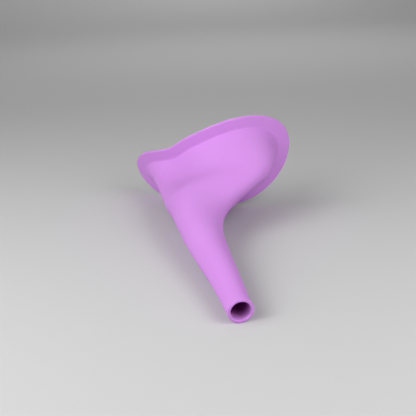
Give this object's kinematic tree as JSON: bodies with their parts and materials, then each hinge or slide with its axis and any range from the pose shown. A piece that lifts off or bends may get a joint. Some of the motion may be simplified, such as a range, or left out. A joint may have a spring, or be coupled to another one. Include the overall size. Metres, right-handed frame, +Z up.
{
  "type": "urination funnel",
  "caption": "Soft silicone urination funnel: a saddle-shaped rim flange round a pear-shaped cup that narrows through a throat into a tapered, open spout. It lies on its side.",
  "frame": {"origin": "centre of the bounding box's underside, in the surface that the funnel lies on", "axes": "+Z up as the funnel lies on its side; -Y the way the spout points, over the table; +Y towards the open cup; +X towards the rear end of the rim"},
  "size_m": [0.1063, 0.2188, 0.0693],
  "materials": {
    "silicone": "matte orchid-purple silicone with a soft sheen"
  },
  "bodies": {
    "root": {"rim_flange": "silicone", "funnel_cup": "silicone", "throat": "silicone", "spout_tube": "silicone", "outlet_lip": "silicone"}
  },
  "joints": []
}
